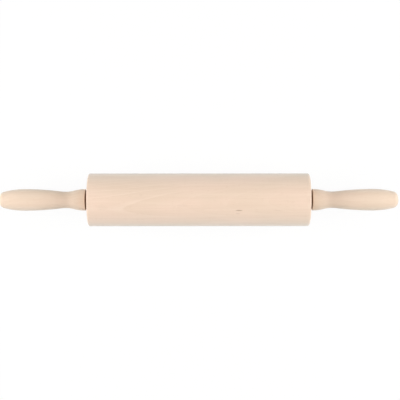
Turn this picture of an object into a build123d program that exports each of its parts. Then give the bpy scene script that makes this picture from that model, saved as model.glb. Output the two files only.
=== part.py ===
from build123d import *
from math import cos, isclose, radians
import os

# A wooden rolling pin whose barrel turns on a steel axle between two fixed handles.
# It lies along X. The origin is the middle of the barrel, on the axle's axis, and +Z is up.
# All lengths are in millimetres. The right-hand pieces are made first, and the left-hand
# ones are their mirror images.

# Barrel, turned from one piece of beech and drilled right through.
barrel_length = 250.0
barrel_diameter = 60.0
barrel_bore_clearance = 2.0

# The barrel's end edges are rounded by sanding. The round meets the side and the face at a slight angle.
barrel_edge_round = 2.0
barrel_edge_break_angle = 13.0

# Axle, one steel rod that runs through the barrel and deep into both handles.
axle_diameter = 8.0
axle_grip_length = 70.0
axle_end_chamfer = 0.6

# Straight knurl at each end of the axle, which holds the handle from turning or pulling off.
knurl_length = 30.0
knurl_height = 0.2
knurl_base_width = 0.6
knurl_crest_width = 0.25
knurl_ridge_count = 24
knurl_fit_gap = 0.02

# Bushes, moulded in nylon and pressed into the barrel's ends. The axle turns in them.
bush_length = 20.0
bush_wall = 3.6
bush_running_clearance = 0.08
bush_bore_chamfer = 0.4
bush_lead_chamfer = 0.8
bush_flange_overhang = 2.5
bush_flange_thickness = 1.2
bush_flange_edge_chamfer = 0.3
crush_rib_count = 6
crush_rib_width = 1.6
crush_rib_height = 0.3
bush_seat_relief = 0.5
bush_seat_chamfer = 0.5

# Thrust washers, loose on the axle between each bush's flange and the handle.
washer_thickness = 1.6
washer_width = 6.6
washer_bore_clearance = 0.2
washer_edge_chamfer = 0.3
washer_end_clearance = 0.35

# Handles, turned in beech. Places along a handle are counted from its inner face.
handle_length = 97.5
collar_diameter = 24.3
collar_length = 1.5
collar_edge_chamfer = 0.6
neck_diameter = 18.7
neck_place = 22.2
belly_diameter = 24.6
belly_place = 69.5
tip_diameter = 16.0
tip_round = 6.5
socket_mouth_chamfer = 0.6
socket_end_space = 2.0

# Where along its chord each S-shaped curve of a handle changes from one arc to the other.
collar_curve_share = 0.58
neck_curve_share = 0.15

# A twist drill leaves a cone of this angle at the bottom of a handle's socket.
drill_point_angle = 118.0

# Tools run this far past the faces that they cut.
cut_overrun = 1.0

barrel_radius = barrel_diameter / 2
barrel_end = barrel_length / 2
axle_radius = axle_diameter / 2
barrel_bore_radius = axle_radius + barrel_bore_clearance
knurl_radius = axle_radius + knurl_height
bush_bore_radius = axle_radius + bush_running_clearance
bush_sleeve_radius = bush_bore_radius + bush_wall
bush_seat_radius = bush_sleeve_radius + crush_rib_height
bush_flange_radius = bush_seat_radius + bush_flange_overhang
washer_bore_radius = axle_radius + washer_bore_clearance
washer_start = barrel_end + bush_flange_thickness + washer_end_clearance
handle_start = washer_start + washer_thickness + washer_end_clearance
axle_end = handle_start + axle_grip_length
socket_radius = knurl_radius + knurl_fit_gap
socket_depth = axle_grip_length + socket_end_space


def ring(start, length, inner_radius, outer_radius):
    """A sleeve about the X axis that runs along +X from start. An inner radius of 0 makes a rod."""
    width = outer_radius - inner_radius
    section = Pos(start + length / 2, inner_radius + width / 2) * Rectangle(length, width)
    return revolve(section, Axis.X)


def rims(solid, radius):
    """The circular edges of that radius, from left to right."""
    circles = solid.edges().filter_by(GeomType.CIRCLE)
    return circles.filter_by(lambda edge: isclose(edge.radius, radius)).sort_by(Axis.X)


def corner(outline, place):
    """The corner of a flat outline that lies at a place."""
    return outline.vertices().sort_by_distance(place)[0]


def s_curve(start, end, share):
    """Two tangent arcs from start to end, both level there, that meet at a share of the chord."""
    middle = start + (end - start) * share
    first = TangentArc(start, middle, tangent=Vector(1, 0))
    second = TangentArc(middle, end, tangent=first % 1)
    return first + second


def make_barrel():
    """The barrel: a cylinder with sanded edges, a through bore, and a seat for a bush in each end."""
    inset = barrel_edge_round * cos(radians(barrel_edge_break_angle))
    round_middle = (barrel_end - inset, barrel_radius - inset)
    round_sweep = 90 - 2 * barrel_edge_break_angle
    right_edge = CenterArc(round_middle, barrel_edge_round, barrel_edge_break_angle, round_sweep)
    left_edge = mirror(right_edge, Plane.YZ)
    side = Line(left_edge @ 1, right_edge @ 1)
    ends = Polyline(right_edge @ 0, (barrel_end, 0), (-barrel_end, 0), left_edge @ 0)
    barrel = revolve(make_face([left_edge, side, right_edge, ends]), Axis.X)
    bore_reach = barrel_end + cut_overrun
    barrel -= ring(-bore_reach, bore_reach * 2, 0, barrel_bore_radius)
    seat_depth = bush_length + bush_seat_relief
    seat = ring(barrel_end - seat_depth, seat_depth + cut_overrun, 0, bush_seat_radius)
    barrel -= seat + mirror(seat, Plane.YZ)
    mouths = rims(barrel, bush_seat_radius)
    return chamfer([mouths[0], mouths[-1]], bush_seat_chamfer)


def make_knurl():
    """The straight ridges rolled into the right end of the axle, with the rod between them."""
    root = axle_radius - knurl_height
    ridge = make_face(
        Polyline(
            (root, -knurl_base_width / 2),
            (knurl_radius, -knurl_crest_width / 2),
            (knurl_radius, knurl_crest_width / 2),
            (root, knurl_base_width / 2),
            close=True,
        )
    )
    section = Circle(axle_radius) + PolarLocations(0, knurl_ridge_count) * ridge
    start = axle_end - axle_end_chamfer - knurl_length
    return extrude(Plane.YZ.offset(start) * section, knurl_length)


def make_axle():
    """The steel rod, with chamfered ends and a knurl at each end."""
    rod = ring(-axle_end, axle_end * 2, 0, axle_radius)
    rod = chamfer(rims(rod, axle_radius), axle_end_chamfer)
    knurl = make_knurl()
    return rod + knurl + mirror(knurl, Plane.YZ)


def make_bush():
    """The right bush: a flange against the barrel's end face, and a ribbed sleeve in its seat."""
    sleeve = ring(barrel_end - bush_length, bush_length, 0, bush_sleeve_radius)
    sleeve = chamfer(rims(sleeve, bush_sleeve_radius)[0], bush_lead_chamfer)
    rib_length = bush_length - bush_lead_chamfer
    rib_space = ring(barrel_end - rib_length, rib_length, 0, bush_seat_radius)
    rib_space = chamfer(rims(rib_space, bush_seat_radius), bush_seat_chamfer)
    bar = Box(rib_length, crush_rib_width, bush_seat_radius, align=(Align.MAX, Align.CENTER, Align.MIN))
    turns = [Rot(360 * index / crush_rib_count, 0, 0) for index in range(crush_rib_count)]
    ribs = rib_space & [Pos(barrel_end, 0, 0) * turn * bar for turn in turns]
    flange = ring(barrel_end, bush_flange_thickness, 0, bush_flange_radius)
    flange = chamfer(rims(flange, bush_flange_radius)[-1], bush_flange_edge_chamfer)
    bore_start = barrel_end - bush_length - cut_overrun
    bore_end = barrel_end + bush_flange_thickness + cut_overrun
    bush = sleeve + ribs + flange - ring(bore_start, bore_end - bore_start, 0, bush_bore_radius)
    return chamfer(rims(bush, bush_bore_radius), bush_bore_chamfer)


def make_washer():
    """The right thrust washer, with eased outer edges."""
    washer = ring(washer_start, washer_thickness, washer_bore_radius, washer_bore_radius + washer_width)
    return chamfer(rims(washer, washer_bore_radius + washer_width), washer_edge_chamfer)


def make_handle():
    """The right handle: a turned grip with a collar, a slim neck, a long belly and a rounded tip."""
    mouth_corner = Vector(0, collar_diameter / 2)
    collar_end = Vector(collar_length, collar_diameter / 2)
    neck = Vector(neck_place, neck_diameter / 2)
    belly = Vector(belly_place, belly_diameter / 2)
    tip_corner = Vector(handle_length, tip_diameter / 2)
    inner_face = Polyline((0, 0), mouth_corner, collar_end)
    to_neck = s_curve(collar_end, neck, collar_curve_share)
    to_belly = s_curve(neck, belly, neck_curve_share)
    to_tip = TangentArc(belly, tip_corner, tangent=Vector(1, 0))
    tip_face = Polyline(tip_corner, (handle_length, 0), (0, 0))
    outline = make_face(inner_face + to_neck + to_belly + to_tip + tip_face)
    outline = fillet(corner(outline, tip_corner), tip_round)
    outline = chamfer(corner(outline, mouth_corner), collar_edge_chamfer)
    grip = revolve(outline, Axis.X) - make_socket()
    grip = chamfer(rims(grip, socket_radius)[0], socket_mouth_chamfer)
    return Pos(handle_start, 0, 0) * grip


def make_socket():
    """The space that the axle's socket takes out of a handle, with the drill's cone at its end."""
    wall = Line((socket_depth, 0), (socket_depth, socket_radius))
    cone = PolarLine(wall @ 1, socket_radius, -drill_point_angle / 2, length_mode=LengthMode.VERTICAL)
    point = make_face(wall + cone + Line(cone @ 1, wall @ 0))
    return ring(-cut_overrun, cut_overrun + socket_depth, 0, socket_radius) + revolve(point, Axis.X)


right_pieces = {
    "bush": make_bush(),
    "thrust_washer": make_washer(),
    "handle": make_handle(),
}
nodes = {"barrel": make_barrel(), "axle": make_axle()}
for name, piece in right_pieces.items():
    nodes["right_" + name] = piece
    nodes["left_" + name] = mirror(piece, Plane.YZ)

os.makedirs("parts", exist_ok=True)
for name, shape in nodes.items():
    shape.label = name
    export_step(shape, f"parts/{name}.step")
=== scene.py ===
from collections import namedtuple
from math import atan2, ceil, cos, hypot, pi, radians, sin, sqrt, tan

import bpy
import numpy as np
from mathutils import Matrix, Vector


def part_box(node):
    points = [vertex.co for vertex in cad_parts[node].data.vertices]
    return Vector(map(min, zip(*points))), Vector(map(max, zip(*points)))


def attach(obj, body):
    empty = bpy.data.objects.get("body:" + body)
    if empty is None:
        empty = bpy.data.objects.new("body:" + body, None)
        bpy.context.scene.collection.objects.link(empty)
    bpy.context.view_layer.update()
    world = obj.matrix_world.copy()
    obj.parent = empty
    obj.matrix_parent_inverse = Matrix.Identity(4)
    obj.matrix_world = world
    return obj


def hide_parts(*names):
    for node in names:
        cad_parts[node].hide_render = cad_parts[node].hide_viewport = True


bl_info = {
    "name": "Rolling Pin",
    "version": (1, 0, 0),
    "blender": (4, 5, 0),
    "location": "3D View > Sidebar > Rolling Pin",
    "description": "Dresses a turned beech rolling pin and sets it on a white studio table",
    "category": "Object",
}

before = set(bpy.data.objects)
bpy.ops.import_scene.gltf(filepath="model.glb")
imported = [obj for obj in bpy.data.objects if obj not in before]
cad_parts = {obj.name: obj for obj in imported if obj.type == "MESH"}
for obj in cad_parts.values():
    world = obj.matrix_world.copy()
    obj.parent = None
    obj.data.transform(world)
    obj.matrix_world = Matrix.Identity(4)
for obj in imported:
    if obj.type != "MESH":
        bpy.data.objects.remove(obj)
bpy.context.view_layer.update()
MM = 0.001
WHITE = (1, 1, 1)

# A turned surface has this many faces round the pin. Along its outline no face is longer than the longest
# face, or turns by more than the largest turn. An edge sharper than the crease angle shows as an edge.
FACES_AROUND = 180
LONGEST_FACE = 4 * MM
LARGEST_TURN = radians(3)
CREASE_ANGLE = radians(30)

# The table reaches this far from the pin to each side, in metres, past what any view takes in.
TABLE_REACH = 12.0


def radius_of(node):
    """The radius of a turned piece, read from the side of its box that lies nearest to the axis."""
    low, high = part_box(node)
    return min(-low.y, -low.z, high.y, high.z)


def bore_of(node):
    """The radius of a piece's bore, read from the point of its mesh that lies nearest to the axis."""
    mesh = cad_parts[node].data
    places = np.empty(3 * len(mesh.vertices))
    mesh.vertices.foreach_get("co", places)
    return float(np.hypot(places[1::3], places[2::3]).min())


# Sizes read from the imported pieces. The pin lies along X with its middle at the origin.
BARREL_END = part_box("barrel")[1].x
BARREL_RADIUS = radius_of("barrel")
BARREL_BORE = bore_of("barrel")
HANDLE_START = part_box("right_handle")[0].x
HANDLE_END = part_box("right_handle")[1].x
BELLY_RADIUS = radius_of("right_handle")
BUSH_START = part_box("right_bush")[0].x
BUSH_BORE = bore_of("right_bush")
FLANGE_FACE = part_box("right_bush")[1].x
FLANGE_RADIUS = radius_of("right_bush")
WASHER_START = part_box("right_thrust_washer")[0].x
WASHER_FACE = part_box("right_thrust_washer")[1].x
WASHER_RADIUS = radius_of("right_thrust_washer")
WASHER_BORE = bore_of("right_thrust_washer")
FLOOR_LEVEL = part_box("barrel")[0].z


# How a piece of wood lay in its tree: where the tree's middle passes beside the piece, in millimetres, how
# far that middle leans, in degrees, and a number that picks the piece's grain.
Board = namedtuple("Board", "middle lean seed")
BARREL_BOARD = Board((0, 14.1, -80), (0, 4.1, -6.1), 3.1)
HANDLE_BOARDS = {
    "left": Board((0, 45, -38), (0, 1.2, 0), 7.7),
    "right": Board((0, -30, -52), (0, 1.2, 0), 7.7),
}

# A single mark in the wood on the barrel's upper side: its place along and across it, its half length and
# half width, all in millimetres, and how strongly it shows.
Mark = namedtuple("Mark", "along across half_length half_width strength")
DARK_STREAK = Mark(44.6, -11.9, 5.2, 1.0, 0.52)
FAINT_STREAKS = (Mark(43.5, -15.2, 3.4, 0.8, 0.2), Mark(87.8, -12.0, 5.0, 0.9, 0.08))
SOFT_PATCHES = (
    Mark(-108.0, -9.0, 9.0, 5.0, 0.04),
    Mark(-64.5, 5.2, 2.6, 2.0, 0.05),
    Mark(-18.0, -6.5, 8.0, 2.5, 0.05),
)

# A mark reaches this deep. It fades from the rim of its core, which takes this share of its size, outwards.
MARK_DEPTH = 2.5 * MM
MARK_CORE = 0.35

# The length and width of the parts of beech's patterns, in millimetres. Real pores are a twentieth of a
# millimetre wide, too fine to show, so the grain is drawn as coarse as it needs to show.
GRAIN_SIZE = (38.5, 0.77)
BAND_SIZE = (125, 3.33)
DRIFT_SIZE = (91, 33.3)
WAVE_SIZE = (111, 16.7)
FLECK_SIZE = (6.67, 1.11)

# What each pattern gives: the stretch of it that counts, and what the two ends of that stretch become.
GRAIN_LEVEL = ((0.35, 0.7), (1.01, 0.971))
BAND_LEVEL = ((0.35, 0.65), (1.012, 0.975))
PINK_SHARE = ((0.42, 0.6), (0.0, 0.7))
WAVE_PUSH = ((0.0, 1.0), (-0.7 * MM, 0.7 * MM))
FLECK_LENS = ((0.12, 0.34), (1.0, 0.0))

# The darker the grain, the browner: red, green and blue get these powers of its level.
BROWNING = (0.75, 1.12, 1.45)

# A cell of the fleck pattern holds a fleck if its random number, from 0 to 1, is above this.
CELLS_WITHOUT_FLECK = 0.6
FLECK_STRENGTH = 0.16

# How dark the wood is at shares of a ring's width, outwards: a dark line with a sharp edge, a slow fall, and
# a pale line. Wood of plain darkness has the plain share of late wood's colour, and the rings add or take.
YEAR_STOPS = ((0.02, 0.1), (0.05, 0.66), (0.14, 0.57), (0.3, 0.47), (0.82, 0.42), (0.93, 0.1))
PLAIN_DARKNESS = 0.42
PLAIN_LATE_SHARE = 0.3

# The rings' strength falls between these places along the pin, from clear on the left to faint on the right.
RINGS_FADE = ((-90 * MM, 30 * MM), (0.72, 0.2))

# End grain starts, and is full, where a face looks along the pin this squarely.
END_GRAIN = ((0.8, 0.98), (0.0, 1.0))

# What the grain adds to the wood's roughness or takes from it.
ROUGHNESS_SPREAD = 0.06

# Nylon has faint clouds, duller where they are paler, and its mould's grit. Steel has lines from its die.
CLOUD_SIZE = (1.1, 1.1)
CLOUD_ROUGHNESS = ((0.0, 1.0), (0.55, 0.7))
CLOUD_PALENESS = 1.25
GRIT_SIZE = (0.17, 0.17)
DIE_LINE_SIZE = (50, 0.2)
DIE_LINE_ROUGHNESS = ((0.0, 1.0), (0.22, 0.4))


def linear(hex_code):
    """An sRGB colour such as #EAD3B8 as linear red, green and blue."""
    shown = np.array([int(hex_code[place:place + 2], 16) for place in (1, 3, 5)]) / 255
    return tuple(np.where(shown <= 0.04045, shown / 12.92, ((shown + 0.055) / 1.055) ** 2.4))


def length(name, millimetres, description):
    """A length property, given in millimetres and kept in metres."""
    return bpy.props.FloatProperty(
        name=name, description=description, default=millimetres * MM, min=0, precision=5, unit="LENGTH"
    )


def colour(name, hex_code, description):
    """A colour property, given as sRGB hex and kept linear."""
    return bpy.props.FloatVectorProperty(
        name=name, description=description, default=linear(hex_code), min=0, max=1, size=3, subtype="COLOR"
    )


def factor(name, value, description):
    """A share from 0 to 1."""
    return bpy.props.FloatProperty(
        name=name, description=description, default=value, min=0, max=1, subtype="FACTOR"
    )


def angle(name, degrees, description):
    """An angle property, given in degrees and kept in radians."""
    return bpy.props.FloatProperty(
        name=name, description=description, default=radians(degrees), subtype="ANGLE", unit="ROTATION"
    )


def number(name, value, description, **limits):
    """A plain number, or one with a unit given in its limits."""
    return bpy.props.FloatProperty(name=name, description=description, default=value, **limits)


class BarrelSizes(bpy.types.PropertyGroup):
    """The barrel's sizes that its box doesn't give."""

    edge_round: length("Edge round", 2.0, "Radius of the sanded edge at each end")
    edge_break: angle("Edge break", 13.0, "Angle at which the edge's round meets the side and the face")
    seat_radius: length("Seat radius", 7.98, "Radius of the bush's seat")
    seat_depth: length("Seat depth", 20.5, "Depth of the bush's seat")
    seat_chamfer: length("Seat chamfer", 0.5, "Chamfer at the mouth of the seat")
    bore_radius: length("Bore radius", BARREL_BORE / MM, "Radius of the bore between the seats")


class HandleSizes(bpy.types.PropertyGroup):
    """The turned outline of a handle. Places are counted from its inner face."""

    collar_radius: length("Collar radius", 12.15, "Radius at the inner end")
    collar_length: length("Collar length", 1.5, "Straight stretch behind the inner face")
    collar_edge: length("Collar edge", 0.6, "Radius of the collar's eased edge")
    neck_radius: length("Neck radius", 9.35, "Radius at the slimmest place")
    neck_place: length("Neck place", 22.2, "Distance from the inner face to the slimmest place")
    belly_place: length("Belly place", 69.5, "Distance from the inner face to the widest place")
    tip_radius: length("Tip radius", 8.0, "Radius at the tip before its edge is rounded")
    tip_round: length("Tip round", 6.5, "Radius of the rounded edge at the tip")
    socket_radius: length("Socket radius", 4.22, "Radius of the hole for the axle")
    socket_depth: length("Socket depth", 72.0, "Depth of the straight part of that hole")
    socket_mouth: length("Socket mouth", 0.6, "Chamfer at the mouth of the hole")
    collar_curve: factor("Collar curve", 0.58, "Where the curve from collar to neck turns over")
    neck_curve: factor("Neck curve", 0.15, "Where the curve from neck to belly turns over")
    drill_half_angle: angle("Drill half angle", 59.0, "Half the angle of the cone at the hole's end")


class BushSizes(bpy.types.PropertyGroup):
    """A moulded bush, with crush ribs that hold it in its seat."""

    bore_radius: length("Bore radius", BUSH_BORE / MM, "Radius of the bore that the axle turns in")
    bore_chamfer: length("Bore chamfer", 0.4, "Chamfer at both ends of the bore")
    sleeve_radius: length("Sleeve radius", 7.68, "Radius of the sleeve between its ribs")
    lead_chamfer: length("Lead chamfer", 0.8, "Chamfer at the end that is pressed in first")
    flange_edge: length("Flange edge", 0.3, "Chamfer at the rim of the flange")
    rib_height: length("Rib height", 0.3, "How far a crush rib stands out")
    rib_width: length("Rib width", 1.6, "Width of a crush rib")
    rib_end: length("Rib end", 0.5, "How far a crush rib slopes down to the sleeve at each end")
    rib_count: bpy.props.IntProperty(name="Ribs", description="Crush ribs round a bush", default=6, min=1)


class WasherSizes(bpy.types.PropertyGroup):
    """A thrust washer, loose on the axle."""

    bore_radius: length("Bore radius", WASHER_BORE / MM, "Radius of the washer's hole")
    rim_chamfer: length("Rim chamfer", 0.3, "Chamfer at both edges of the rim")


class BeechLook(bpy.types.PropertyGroup):
    """Plain European beech, turned and sanded, with no oil or varnish on it."""

    early_wood: colour("Early wood", "#DFC8B4", "The pale wood that grows in spring")
    late_wood: colour("Late wood", "#D2B79E", "The darker part of each year's ring")
    pink_wood: colour("Pink wood", "#E1C6B2", "Slow drifts of pinker wood")
    fleck: colour("Ray fleck", "#BD9A7C", "The short dark dashes of beech's rays")
    mark: colour("Mark", "#8E6A4C", "The few darker marks that show singly on the barrel")
    end_grain: colour("End grain", "#EDE4DA", "What the end faces' cut pores multiply the wood by")
    # Darkens the handles' beech a little: partly their own wood tone and partly painted shade, which evens
    # their brightness with the barrel's under these lamps.
    handle_tone_and_shade: colour("Handle tint", "#FAFCFB", "What the handles' wood is multiplied by")
    ring_width: length("Ring width", 2.75, "Width of a year's ring")
    roughness: factor("Roughness", 0.62, "Roughness of sanded wood")
    barrel_fuzz: factor("Barrel fuzz", 0.4, "Sheen of the fine fibres that sanding raised on the barrel")
    handle_fuzz: factor("Handle fuzz", 0.28, "The same sheen on the handles, which are smoother")
    fuzz: colour("Fuzz", "#E1F8FF", "Colour of that sheen, cooler than the wood")


class FittingsLook(bpy.types.PropertyGroup):
    """The nylon of the bushes and washers, kept dark as painted shade for the gaps beside the barrel, and
    the steel of the axle.
    """

    # Partly the nylon's own colour and partly painted shade: its dark brown stands in for the shade in the
    # gap between each handle and the barrel.
    nylon_gap_shade: colour("Nylon", "#6B4A30", "Brown moulded nylon")
    steel_dark: colour("Steel, dark lines", "#B9BBBC", "The darker of the lines that drawing leaves")
    steel_pale: colour("Steel, pale lines", "#D2D3D4", "The paler of those lines")


class StudioLook(bpy.types.PropertyGroup):
    """Two soft lamps, one beyond each end of the pin, and one overhead, over a white table."""

    camera_distance: length("Camera distance", 1180.0, "From the camera to the pin's axis")
    frame_width: length("Frame width", 454.6, "Width that the picture takes in at the pin's axis")
    shift_right: number("Shift right", 0.00285, "Shift in picture widths")
    shift_up: number("Shift up", -0.0005, "Shift in picture widths")
    camera_roll: angle("Camera roll", -0.04, "How far the camera is turned about its own line of sight")
    lamp_distance: length("Lamp distance", 1100.0, "From the pin's middle to each lamp at its ends")
    lamp_size: length("Lamp size", 600.0, "Side of each square lamp")
    lamp_height: angle("Lamp height", 28.5, "Angle of the end lamps above the table")
    lamp_turn: angle("Lamp turn", 1.2, "How far the end lamps stand towards the front")
    lamp_power: number("End lamp power", 10.0, "Power of each end lamp", min=0, unit="POWER")
    top_distance: length("Top lamp distance", 1300.0, "From the pin's middle to the lamp overhead")
    top_power: number("Top lamp power", 2.55, "Power of the lamp overhead", min=0, unit="POWER")
    sky: number("Sky", 0.365, "Strength of the even light from all round", min=0)
    white_share: factor("White share", 0.94, "How much of the table is plain white to the camera")
    paper: colour("Paper", "#F4F4F2", "The table's paper, where it takes the pin's shadow")


class PinSettings(bpy.types.PropertyGroup):
    """Everything that a user would change."""

    barrel: bpy.props.PointerProperty(type=BarrelSizes)
    handle: bpy.props.PointerProperty(type=HandleSizes)
    bush: bpy.props.PointerProperty(type=BushSizes)
    washer: bpy.props.PointerProperty(type=WasherSizes)
    beech: bpy.props.PointerProperty(type=BeechLook)
    fittings: bpy.props.PointerProperty(type=FittingsLook)
    studio: bpy.props.PointerProperty(type=StudioLook)


def line(start, end):
    """Evenly spaced points on a straight line, without its first point."""
    steps = ceil(hypot(end[0] - start[0], end[1] - start[1]) / LONGEST_FACE)
    share = np.linspace(0, 1, steps + 1)[1:, None]
    return np.array(start) + share * (np.array(end) - np.array(start))


def arc(start, end, heading):
    """Points on the circular arc that leaves start at a heading and ends at end, without its first point.

    The arc turns by twice the angle between its heading and its chord, so its radius is the chord over
    twice the sine of that angle. Also gives the heading at the end.
    """
    across, up = end[0] - start[0], end[1] - start[1]
    bend = atan2(up, across) - heading
    radius = hypot(across, up) / (2 * sin(bend))
    steps = ceil(abs(2 * bend) * max(1 / LARGEST_TURN, abs(radius) / LONGEST_FACE))
    turned = heading + np.linspace(0, 2 * bend, steps + 1)[1:]
    x = start[0] + radius * (np.sin(turned) - sin(heading))
    r = start[1] - radius * (np.cos(turned) - cos(heading))
    return np.column_stack((x, r)), turned[-1]


def double_arc(start, end, share):
    """Two arcs, level at both ends, that meet at a share of the chord."""
    middle = np.array(start) + share * (np.array(end) - np.array(start))
    first, heading = arc(start, middle, 0)
    second, _ = arc(middle, end, heading)
    return np.vstack((first, second))


def other_end(outline):
    """The mirror image of a right-hand outline, turned back to front so that faces still point out."""
    return np.asarray(outline)[::-1] * (-1, 1)


def both_ends(outline):
    """The outlines of the left and the right one of a pair of pieces, each with its side."""
    return ("left", other_end(outline)), ("right", outline)


def turned_piece(name, outline, relief=None):
    """A surface turned about the X axis.

    A point (x, r) of the outline at angle a goes to (x, r sin a, r cos a). The outline runs along +X on the
    outside and along -X in a bore, so that faces point out. If it starts and ends on the axis it closes in
    two poles, and otherwise it closes on itself. A relief adds a height to r for each point and angle.
    """
    poles = outline[0, 1] == 0 and outline[-1, 1] == 0
    rows = outline[1:-1] if poles else outline
    angles = np.linspace(0, 2 * pi, FACES_AROUND, endpoint=False)
    radius = np.repeat(rows[:, 1:2], FACES_AROUND, axis=1)
    if relief is not None:
        radius = radius + relief(rows[:, 0:1], rows[:, 1:2], angles[None, :])
    x = np.repeat(rows[:, 0:1], FACES_AROUND, axis=1)
    points = np.stack((x, radius * np.sin(angles), radius * np.cos(angles)), axis=-1).reshape(-1, 3)

    place = np.arange(len(points)).reshape(len(rows), FACES_AROUND)
    onward = np.roll(place, -1, axis=1)
    if not poles:
        place, onward = np.vstack((place, place[:1])), np.vstack((onward, onward[:1]))
    faces = np.stack((place[:-1], place[1:], onward[1:], onward[:-1]), axis=-1).reshape(-1, 4).tolist()
    if poles:
        first, last = len(points), len(points) + 1
        points = np.vstack((points, (outline[0, 0], 0, 0), (outline[-1, 0], 0, 0)))
        faces += np.stack((np.full(FACES_AROUND, first), place[0], onward[0]), axis=-1).tolist()
        faces += np.stack((place[-1], np.full(FACES_AROUND, last), onward[-1]), axis=-1).tolist()
    mesh = bpy.data.meshes.new(name)
    mesh.from_pydata(points.tolist(), [], faces)
    mesh.shade_smooth()
    mesh.set_sharp_from_angle(angle=CREASE_ANGLE)
    piece = bpy.data.objects.new(name, mesh)
    bpy.context.scene.collection.objects.link(piece)
    return piece


def finish_piece(piece, material, body, node):
    """Gives a piece its material and its body, and hides the CAD node that it stands for."""
    piece.data.materials.append(material)
    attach(piece, body)
    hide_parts(node)


def barrel_outline(sizes):
    """The closed outline of the barrel: outside, right seat, bore, left seat.

    The round at each end takes its radius times the break's cosine less its sine off both side and face.
    """
    end, radius = BARREL_END, BARREL_RADIUS
    edge = sizes.edge_round * (cos(sizes.edge_break) - sin(sizes.edge_break))
    mouth, chamfer = sizes.seat_radius, sizes.seat_chamfer
    floor = end - sizes.seat_depth
    right_half = np.vstack((
        [(end - edge, radius)],
        arc((end - edge, radius), (end, radius - edge), -sizes.edge_break)[0],
        line((end, radius - edge), (end, mouth + chamfer)),
        line((end, mouth + chamfer), (end - chamfer, mouth)),
        line((end - chamfer, mouth), (floor, mouth)),
        line((floor, mouth), (floor, sizes.bore_radius)),
    ))
    side = line((-end + edge, radius), (end - edge, radius))[:-1]
    bore = line((floor, sizes.bore_radius), (-floor, sizes.bore_radius))[:-1]
    return np.vstack((side, right_half, bore, other_end(right_half)))


def handle_outline(sizes):
    """The outline of the right handle: from the drill's point out of the socket, over the grip, to the tip.

    The grip is a chain of arcs that are level at the collar, the neck and the belly. The one from belly to
    tip has the radius (run squared + fall squared) / (2 x fall). The tip's round is an arc inside it, so the
    two arcs' middles lie as far apart as their radii differ.
    """
    start, end = HANDLE_START, HANDLE_END
    socket, mouth = sizes.socket_radius, sizes.socket_mouth
    bottom = start + sizes.socket_depth
    point = bottom + socket / tan(sizes.drill_half_angle)
    edge_start = (start, sizes.collar_radius - sizes.collar_edge)
    edge_end = (start + sizes.collar_edge, sizes.collar_radius)
    collar_top = (start + sizes.collar_length, sizes.collar_radius)
    neck = (start + sizes.neck_place, sizes.neck_radius)
    belly = (start + sizes.belly_place, BELLY_RADIUS)

    run, fall = end - belly[0], BELLY_RADIUS - sizes.tip_radius
    sweep = (run * run + fall * fall) / (2 * fall)
    inner = sweep - sizes.tip_round
    reach = run - sizes.tip_round
    rise = sqrt(inner * inner - reach * reach)
    tip_face_radius = belly[1] - sweep + rise
    meeting = (belly[0] + reach * sweep / inner, belly[1] - sweep + rise * sweep / inner)
    to_meeting, heading = arc(belly, meeting, 0)
    return np.vstack((
        [(point, 0)],
        line((point, 0), (bottom, socket)),
        line((bottom, socket), (start + mouth, socket)),
        line((start + mouth, socket), (start, socket + mouth)),
        line((start, socket + mouth), edge_start),
        arc(edge_start, edge_end, pi / 2)[0],
        line(edge_end, collar_top),
        double_arc(collar_top, neck, sizes.collar_curve),
        double_arc(neck, belly, sizes.neck_curve),
        to_meeting,
        arc(meeting, (end, tip_face_radius), heading)[0],
        line((end, tip_face_radius), (end, 0)),
    ))


def bush_outline(sizes):
    """The closed outline of the right bush: sleeve, with a row where a rib's slope ends, flange and bore."""
    start, seat, face = BUSH_START, BARREL_END, FLANGE_FACE
    sleeve, bore = sizes.sleeve_radius, sizes.bore_radius
    lead, edge, ease = sizes.lead_chamfer, sizes.flange_edge, sizes.bore_chamfer
    rib_start, rib_stop = start + lead + sizes.rib_end, seat - sizes.rib_end
    return np.vstack((
        [(start, sleeve - lead)],
        line((start, sleeve - lead), (start + lead, sleeve)),
        line((start + lead, sleeve), (rib_start, sleeve)),
        line((rib_start, sleeve), (rib_stop, sleeve)),
        line((rib_stop, sleeve), (seat, sleeve)),
        line((seat, sleeve), (seat, FLANGE_RADIUS)),
        line((seat, FLANGE_RADIUS), (face - edge, FLANGE_RADIUS)),
        line((face - edge, FLANGE_RADIUS), (face, FLANGE_RADIUS - edge)),
        line((face, FLANGE_RADIUS - edge), (face, bore + ease)),
        line((face, bore + ease), (face - ease, bore)),
        line((face - ease, bore), (start + ease, bore)),
        line((start + ease, bore), (start, bore + ease)),
    ))


def crush_ribs(sizes):
    """The height of the ribs on a bush's sleeve.

    A rib is flat on top and falls off to its sides within a tenth of its width. It stands only on the
    sleeve's own radius, between the slopes at its ends.
    """
    def height(x, r, turned):
        spacing = 2 * pi / sizes.rib_count
        away = np.abs((turned + spacing / 2) % spacing - spacing / 2) * r
        side = np.clip((sizes.rib_width / 2 - away) / (sizes.rib_width / 10), 0, 1)
        past_lead = np.abs(x) > BUSH_START + sizes.lead_chamfer + sizes.rib_end / 2
        below_flange = np.abs(x) < BARREL_END - sizes.rib_end / 2
        return sizes.rib_height * side * (np.isclose(r, sizes.sleeve_radius) & past_lead & below_flange)
    return height


def washer_outline(sizes):
    """The closed outline of the right thrust washer, with chamfered rims."""
    start, face, radius = WASHER_START, WASHER_FACE, WASHER_RADIUS
    edge, bore = sizes.rim_chamfer, sizes.bore_radius
    return np.vstack((
        [(start, radius - edge)],
        line((start, radius - edge), (start + edge, radius)),
        line((start + edge, radius), (face - edge, radius)),
        line((face - edge, radius), (face, radius - edge)),
        line((face, radius - edge), (face, bore)),
        line((face, bore), (start, bore)),
        line((start, bore), (start, radius - edge))[:-1],
    ))


def in_use(sockets, name=None):
    """The first socket that a node has in use, or the first one of that name. A node hides the others."""
    return next(socket for socket in sockets if socket.enabled and name in (None, socket.name))


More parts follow.
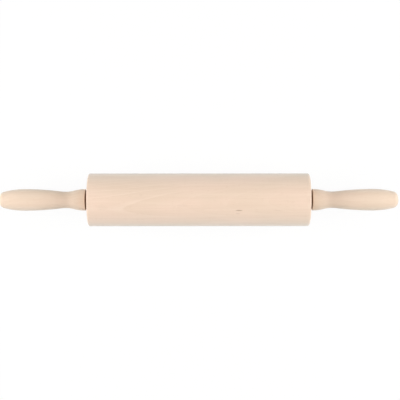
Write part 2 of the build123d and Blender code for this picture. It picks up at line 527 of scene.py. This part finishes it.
def add(tree, kind, inputs=None, **settings):
    """Adds a node with its settings, and fills its inputs.

    An input goes by its name, or by its number where several share a name. It gets a plain value, or a link
    from a socket or from the first output of a node.
    """
    node = tree.nodes.new("ShaderNode" + kind)
    for name, value in settings.items():
        setattr(node, name, value)
    for name, value in (inputs or {}).items():
        socket = node.inputs[name] if isinstance(name, int) else in_use(node.inputs, name)
        if isinstance(value, bpy.types.Node):
            tree.links.new(in_use(value.outputs), socket)
        elif isinstance(value, bpy.types.NodeSocket):
            tree.links.new(value, socket)
        else:
            socket.default_value = value
    return node


def new_material(name):
    """An empty material and its node tree."""
    material = bpy.data.materials.new(name)
    material.use_nodes = True
    material.node_tree.nodes.clear()
    return material, material.node_tree


def rgba(value):
    """A colour as the four numbers that a socket takes."""
    return (*value, 1.0)


def parts_per_metre(size):
    """The scale of a pattern, from the length along the pin and the width of its parts in millimetres."""
    along, across = (1 / (part * MM) for part in size)
    return along, across, across


def ends(change):
    """The ends of a stretch and what they become, as the inputs that Map Range takes them by."""
    (low, high), (first, last) = change
    return {"From Min": low, "From Max": high, "To Min": first, "To Max": last}


def soft_noise(tree, place, size, shift=(0, 0, 0), detail=2.0, roughness=0.5):
    """Soft patches between 0 and 1, as long and wide as their size in millimetres says."""
    stretched = add(tree, "Mapping", {"Vector": place, "Scale": parts_per_metre(size), "Location": shift})
    return add(tree, "TexNoise", {"Vector": stretched, "Scale": 1.0, "Detail": detail,
                                  "Roughness": roughness})


def late_wood_share(tree, place, ring_width, board):
    """How much of the late wood's colour the yearly rings show at a place.

    The rings are shells about the tree's middle, so the distance from it over a ring's width counts the
    years. The middle passes beside the piece and leans a little, so the turned surface cuts the rings into
    long arches where it lies flat to them and into lines at its sides.
    """
    middle = [millimetres * MM for millimetres in board.middle]
    lean = [radians(degrees) for degrees in board.lean]
    in_tree = add(tree, "Mapping", {"Vector": place, "Location": middle, "Rotation": lean},
                  vector_type="TEXTURE")
    across = add(tree, "VectorMath", {0: in_tree, 1: (0, 1, 1)}, operation="MULTIPLY")
    distance = add(tree, "VectorMath", {0: across}, operation="LENGTH")
    wave = soft_noise(tree, place, WAVE_SIZE, (board.seed, board.seed, 0))
    push = add(tree, "MapRange", {"Value": wave, **ends(WAVE_PUSH)})
    pushed = add(tree, "Math", {0: distance, 1: push}, operation="ADD")
    rings = add(tree, "Math", {0: pushed, 1: ring_width}, operation="DIVIDE")
    year = add(tree, "Math", {0: rings}, operation="FRACT")
    dark = add(tree, "ValToRGB", {"Fac": year})
    dark.color_ramp.interpolation = "EASE"
    dark.color_ramp.elements[1].color = (0, 0, 0, 1)
    for share, value in YEAR_STOPS:
        dark.color_ramp.elements.new(share).color = (value, value, value, 1)

    along = add(tree, "SeparateXYZ", {0: place})
    strength = add(tree, "MapRange", {"Value": along, **ends(RINGS_FADE)})
    darker = add(tree, "Math", {0: dark, 1: PLAIN_DARKNESS}, operation="SUBTRACT")
    return add(tree, "Math", {0: darker, 1: strength, 2: PLAIN_LATE_SHARE}, operation="MULTIPLY_ADD")


def grain_tone(tree, place, grain, seed):
    """What fine grain and broader bands multiply the wood's red, green and blue by."""
    band = soft_noise(tree, place, BAND_SIZE, (seed, 0, 0))
    grain_level = add(tree, "MapRange", {"Value": grain, **ends(GRAIN_LEVEL)})
    band_level = add(tree, "MapRange", {"Value": band, **ends(BAND_LEVEL)})
    level = add(tree, "Math", {0: grain_level, 1: band_level}, operation="MULTIPLY")
    red, green, blue = (add(tree, "Math", {0: level, 1: power}, operation="POWER") for power in BROWNING)
    return add(tree, "CombineColor", {"Red": red, "Green": green, "Blue": blue})


def ray_flecks(tree, place, seed):
    """Short lenses, about 3 mm long and half a millimetre wide, in some of a pattern's cells."""
    stretched = add(tree, "Mapping", {"Vector": place, "Scale": parts_per_metre(FLECK_SIZE),
                                      "Location": (seed, 0, seed)})
    cells = add(tree, "TexVoronoi", {"Vector": stretched, "Scale": 1.0})
    lens = add(tree, "MapRange", {"Value": cells.outputs["Distance"], **ends(FLECK_LENS)})
    pick = add(tree, "SeparateColor", {"Color": cells.outputs["Color"]})
    chosen = add(tree, "Math", {0: pick, 1: CELLS_WITHOUT_FLECK}, operation="GREATER_THAN")
    return add(tree, "Math", {0: lens, 1: chosen}, operation="MULTIPLY")


def mark_share(tree, place, mark):
    """How strongly a single mark shows at a place: a soft lens on the barrel's upper side."""
    middle = (mark.along * MM, mark.across * MM, sqrt(BARREL_RADIUS ** 2 - (mark.across * MM) ** 2))
    half_size = (mark.half_length * MM, mark.half_width * MM, MARK_DEPTH)
    near = add(tree, "Mapping", {"Vector": place, "Location": middle, "Scale": half_size},
               vector_type="TEXTURE")
    away = add(tree, "VectorMath", {0: near}, operation="LENGTH")
    return add(tree, "MapRange", {"Value": away, "From Min": MARK_CORE, "To Min": mark.strength,
                                  "To Max": 0.0}, interpolation_type="SMOOTHSTEP")


def end_face_share(tree, normal):
    """1 on a face that looks along the pin and 0 on its sides."""
    facing = add(tree, "SeparateXYZ", {0: normal})
    along = add(tree, "Math", {0: facing}, operation="ABSOLUTE")
    return add(tree, "MapRange", {"Value": along, **ends(END_GRAIN)})


def sanded_beech(name, look, board, fuzz, tint=WHITE, marks=()):
    """Beech, turned and then sanded with fine paper, with no oil or varnish.

    That gives the eye pale pinkish wood without gloss: faint yearly rings, fine grain, short ray flecks, and
    a thin cool fuzz towards the outline, where the fibres that sanding raised catch the light. Across the
    grain, on the end faces, the cut pores make it darker.
    """
    material, tree = new_material(name)
    spot = add(tree, "TexCoord").outputs
    place, seed = spot["Object"], board.seed
    grain = soft_noise(tree, place, GRAIN_SIZE, (0, seed, seed), detail=3.0, roughness=0.6)
    drift = soft_noise(tree, place, DRIFT_SIZE, (0, 0, seed))
    pink = add(tree, "MapRange", {"Value": drift, **ends(PINK_SHARE)})
    fleck = ray_flecks(tree, place, seed)
    fleck_share = add(tree, "Math", {0: fleck, 1: FLECK_STRENGTH}, operation="MULTIPLY")

    # Each layer goes over the wood so far: how, how strongly, and its colour.
    wood = rgba(look.early_wood)
    layers = [
        ("MIX", late_wood_share(tree, place, look.ring_width, board), rgba(look.late_wood)),
        ("MIX", pink, rgba(look.pink_wood)),
        ("MULTIPLY", 1.0, grain_tone(tree, place, grain, seed)),
        # On the handles this layer is partly their wood tone and partly painted shade; on the barrel it is
        # white and changes nothing.
        ("MULTIPLY", 1.0, rgba(tint)),
        ("MIX", fleck_share, rgba(look.fleck)),
        *(("MIX", mark_share(tree, place, mark), rgba(look.mark)) for mark in marks),
        ("MULTIPLY", end_face_share(tree, spot["Normal"]), rgba(look.end_grain)),
    ]
    for blend, share, layer in layers:
        wood = add(tree, "Mix", {"Factor": share, "A": wood, "B": layer}, data_type="RGBA",
                   blend_type=blend)

    height = add(tree, "Math", {0: grain, 1: fleck}, operation="SUBTRACT")
    bump = add(tree, "Bump", {"Height": height, "Strength": 0.25, "Distance": 0.03 * MM})
    rough = add(tree, "MapRange", {"Value": grain, "To Min": look.roughness - ROUGHNESS_SPREAD,
                                   "To Max": look.roughness + ROUGHNESS_SPREAD})
    shader = add(tree, "BsdfPrincipled", {
        "Base Color": wood, "Roughness": rough, "Normal": bump, "IOR": 1.5, "Specular IOR Level": 0.3,
        "Sheen Weight": fuzz, "Sheen Roughness": 0.6, "Sheen Tint": rgba(look.fuzz),
    })
    add(tree, "OutputMaterial", {"Surface": shader})
    return material


def moulded_nylon(name, look):
    """Nylon, moulded in a steel mould with a fine matt texture.

    That gives the eye a dull brown with faint clouding and a soft, broad shine. The brown is kept dark as
    painted shade, for the shaded gaps beside the barrel where these pieces show.
    """
    material, tree = new_material(name)
    place = add(tree, "TexCoord").outputs["Object"]
    cloud = soft_noise(tree, place, CLOUD_SIZE, detail=3.0)
    pale = [CLOUD_PALENESS * part for part in look.nylon_gap_shade]
    # The dark nylon colour is painted shade for the gaps beside the barrel, with paler clouds over it.
    body = add(tree, "Mix", {"Factor": cloud, "A": rgba(look.nylon_gap_shade), "B": rgba(pale)}, data_type="RGBA")
    rough = add(tree, "MapRange", {"Value": cloud, **ends(CLOUD_ROUGHNESS)})
    grit = soft_noise(tree, place, GRIT_SIZE)
    bump = add(tree, "Bump", {"Height": grit, "Strength": 0.2, "Distance": 0.01 * MM})
    shader = add(tree, "BsdfPrincipled", {
        "Base Color": body, "Roughness": rough, "Normal": bump, "IOR": 1.53, "Specular IOR Level": 0.2,
    })
    add(tree, "OutputMaterial", {"Surface": shader})
    return material


def drawn_steel(name, look):
    """Steel rod, drawn through a die.

    That gives the eye bright grey metal with fine lines along it.
    """
    material, tree = new_material(name)
    place = add(tree, "TexCoord").outputs["Object"]
    lines = soft_noise(tree, place, DIE_LINE_SIZE, detail=3.0)
    body = add(tree, "Mix", {"Factor": lines, "A": rgba(look.steel_dark), "B": rgba(look.steel_pale)},
               data_type="RGBA")
    rough = add(tree, "MapRange", {"Value": lines, **ends(DIE_LINE_ROUGHNESS)})
    bump = add(tree, "Bump", {"Height": lines, "Strength": 0.15, "Distance": 0.01 * MM})
    shader = add(tree, "BsdfPrincipled", {"Base Color": body, "Metallic": 1.0, "Roughness": rough,
                                          "Normal": bump})
    add(tree, "OutputMaterial", {"Surface": shader})
    return material


def seen_share(tree, share):
    """The share for rays that see the background: from the camera, off a gloss or through a clear piece."""
    rays = add(tree, "LightPath").outputs
    seen = add(tree, "Math", {0: rays["Is Camera Ray"], 1: rays["Is Glossy Ray"]}, operation="MAXIMUM")
    seen = add(tree, "Math", {0: seen, 1: rays["Is Transmission Ray"]}, operation="MAXIMUM")
    return add(tree, "Math", {0: seen, 1: share}, operation="MULTIPLY")


def matt_paper(name, look):
    """Background paper, uncoated, which gives the eye an even white without shine.

    Most of it is plain white to the camera, and the rest takes the pin's soft shadow.
    """
    material, tree = new_material(name)
    paper = add(tree, "BsdfDiffuse", {"Color": rgba(look.paper), "Roughness": 1.0})
    white = add(tree, "Emission", {"Color": rgba(WHITE), "Strength": 1.0})
    both = add(tree, "MixShader", {0: seen_share(tree, look.white_share), 1: paper, 2: white})
    add(tree, "OutputMaterial", {"Surface": both})
    return material


def lay_table(scene, look):
    """A flat sheet of paper that the barrel lies on."""
    corners = [(x, y, FLOOR_LEVEL) for x, y in TABLE_REACH * np.array(((-1, -1), (1, -1), (1, 1), (-1, 1)))]
    mesh = bpy.data.meshes.new("table")
    mesh.from_pydata(corners, [], [(0, 1, 2, 3)])
    table = bpy.data.objects.new("table", mesh)
    table.data.materials.append(matt_paper("Paper, uncoated white", look))
    scene.collection.objects.link(table)


def hang_lamp(scene, name, towards, distance, size, power):
    """A square lamp at a distance from the pin's middle, turned to face it. The camera doesn't see it."""
    lamp = bpy.data.lights.new(name, "AREA")
    lamp.shape, lamp.size, lamp.energy = "SQUARE", size, power
    holder = bpy.data.objects.new(name, lamp)
    holder.location = distance * Vector(towards)
    holder.rotation_euler = Vector(towards).to_track_quat("Z", "Y").to_euler()
    holder.visible_camera = False
    scene.collection.objects.link(holder)


def light_room(scene, look):
    """A lamp beyond each end of the pin, one overhead, and even light from a room that looks white."""
    level, up = cos(look.lamp_height), sin(look.lamp_height)
    aside, front = level * cos(look.lamp_turn), -level * sin(look.lamp_turn)
    hang_lamp(scene, "left_lamp", (-aside, front, up), look.lamp_distance, look.lamp_size, look.lamp_power)
    hang_lamp(scene, "right_lamp", (aside, front, up), look.lamp_distance, look.lamp_size, look.lamp_power)
    hang_lamp(scene, "top_lamp", (0, 0, 1), look.top_distance, look.lamp_size, look.top_power)

    scene.world = bpy.data.worlds.new("White room")
    scene.world.use_nodes = True
    tree = scene.world.node_tree
    tree.nodes.clear()
    even = add(tree, "Background", {"Color": rgba(WHITE), "Strength": look.sky})
    white = add(tree, "Background", {"Color": rgba(WHITE), "Strength": 1.0})
    both = add(tree, "MixShader", {0: seen_share(tree, 1.0), 1: even, 2: white})
    add(tree, "OutputWorld", {"Surface": both})


def set_camera(scene, look):
    """A camera straight above the pin, which looks down at it."""
    camera = bpy.data.cameras.new("camera")
    camera.lens = camera.sensor_width * look.camera_distance / look.frame_width
    camera.shift_x = look.shift_right
    camera.shift_y = look.shift_up
    holder = bpy.data.objects.new("camera", camera)
    holder.location = (0, 0, look.camera_distance)
    holder.rotation_euler = (0, 0, look.camera_roll)
    scene.collection.objects.link(holder)
    scene.camera = holder


class ROLLINGPIN_OT_make_barrel(bpy.types.Operator):
    """Make the turned barrel"""

    bl_idname = "rolling_pin.make_barrel"
    bl_label = "Make Barrel"

    def execute(self, context):
        pin = context.scene.rolling_pin
        marks = (DARK_STREAK, *FAINT_STREAKS, *SOFT_PATCHES)
        wood = sanded_beech("Beech, sanded, barrel", pin.beech, BARREL_BOARD, pin.beech.barrel_fuzz,
                            marks=marks)
        barrel = turned_piece("barrel_wood", barrel_outline(pin.barrel))
        finish_piece(barrel, wood, "barrel", "barrel")
        return {"FINISHED"}


class ROLLINGPIN_OT_make_handles(bpy.types.Operator):
    """Make the two turned handles"""

    bl_idname = "rolling_pin.make_handles"
    bl_label = "Make Handles"

    def execute(self, context):
        pin = context.scene.rolling_pin
        for side, outline in both_ends(handle_outline(pin.handle)):
            wood = sanded_beech(f"Beech, sanded, {side} handle", pin.beech, HANDLE_BOARDS[side],
                                pin.beech.handle_fuzz, pin.beech.handle_tone_and_shade)
            handle = turned_piece(side + "_handle_wood", outline)
            finish_piece(handle, wood, "spindle", side + "_handle")
        return {"FINISHED"}


class ROLLINGPIN_OT_make_bushes(bpy.types.Operator):
    """Make the two moulded bushes"""

    bl_idname = "rolling_pin.make_bushes"
    bl_label = "Make Bushes"

    def execute(self, context):
        pin = context.scene.rolling_pin
        # The bushes' dark nylon is partly painted shade for the gaps beside the barrel.
        nylon_gap_shade = moulded_nylon("Nylon, moulded, bushes", pin.fittings)
        for side, outline in both_ends(bush_outline(pin.bush)):
            bush = turned_piece(side + "_bush_nylon", outline, crush_ribs(pin.bush))
            finish_piece(bush, nylon_gap_shade, "barrel", side + "_bush")
        return {"FINISHED"}


class ROLLINGPIN_OT_make_washers(bpy.types.Operator):
    """Make the two thrust washers"""

    bl_idname = "rolling_pin.make_washers"
    bl_label = "Make Washers"

    def execute(self, context):
        pin = context.scene.rolling_pin
        # The washers' dark nylon is partly painted shade for the gaps beside the barrel.
        nylon_gap_shade = moulded_nylon("Nylon, moulded, washers", pin.fittings)
        for side, outline in both_ends(washer_outline(pin.washer)):
            washer = turned_piece(side + "_washer_nylon", outline)
            finish_piece(washer, nylon_gap_shade, side + "_washer", side + "_thrust_washer")
        return {"FINISHED"}


class ROLLINGPIN_OT_finish_axle(bpy.types.Operator):
    """Give the axle its drawn steel"""

    bl_idname = "rolling_pin.finish_axle"
    bl_label = "Finish Axle"

    def execute(self, context):
        steel = drawn_steel("Steel, drawn", context.scene.rolling_pin.fittings)
        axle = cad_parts["axle"]
        for place in range(len(axle.data.materials)):
            axle.data.materials[place] = steel
        return {"FINISHED"}


class ROLLINGPIN_OT_set_stage(bpy.types.Operator):
    """Set the table, the lamps and the camera"""

    bl_idname = "rolling_pin.set_stage"
    bl_label = "Set Stage"

    def execute(self, context):
        studio = context.scene.rolling_pin.studio
        lay_table(context.scene, studio)
        light_room(context.scene, studio)
        set_camera(context.scene, studio)
        context.scene.view_settings.view_transform = "Standard"
        return {"FINISHED"}


STEPS = (ROLLINGPIN_OT_make_barrel, ROLLINGPIN_OT_make_handles, ROLLINGPIN_OT_make_bushes,
         ROLLINGPIN_OT_make_washers, ROLLINGPIN_OT_finish_axle, ROLLINGPIN_OT_set_stage)


class ROLLINGPIN_PT_panel(bpy.types.Panel):
    """The pin's settings and the buttons that make it"""

    bl_idname = "ROLLINGPIN_PT_panel"
    bl_label = "Rolling Pin"
    bl_space_type = "VIEW_3D"
    bl_region_type = "UI"
    bl_category = "Rolling Pin"

    def draw(self, context):
        pin = context.scene.rolling_pin
        for group_name in ("barrel", "handle", "bush", "washer", "beech", "fittings", "studio"):
            group = getattr(pin, group_name)
            box = self.layout.box()
            box.label(text=group_name.capitalize())
            for key in group.bl_rna.properties.keys():
                if key not in ("rna_type", "name"):
                    box.prop(group, key)
        for step in STEPS:
            self.layout.operator(step.bl_idname)


CLASSES = (BarrelSizes, HandleSizes, BushSizes, WasherSizes, BeechLook, FittingsLook, StudioLook,
           PinSettings, *STEPS, ROLLINGPIN_PT_panel)


def register():
    """Adds the classes and hangs the settings on the scene."""
    for entry in CLASSES:
        bpy.utils.register_class(entry)
    bpy.types.Scene.rolling_pin = bpy.props.PointerProperty(type=PinSettings)


def unregister():
    """Takes the settings and the classes away again."""
    del bpy.types.Scene.rolling_pin
    for entry in reversed(CLASSES):
        bpy.utils.unregister_class(entry)


def main():
    """Makes the whole picture."""
    register()
    bpy.ops.rolling_pin.make_barrel()
    bpy.ops.rolling_pin.make_handles()
    bpy.ops.rolling_pin.make_bushes()
    bpy.ops.rolling_pin.make_washers()
    bpy.ops.rolling_pin.finish_axle()
    bpy.ops.rolling_pin.set_stage()


if __name__ == "__main__":
    main()
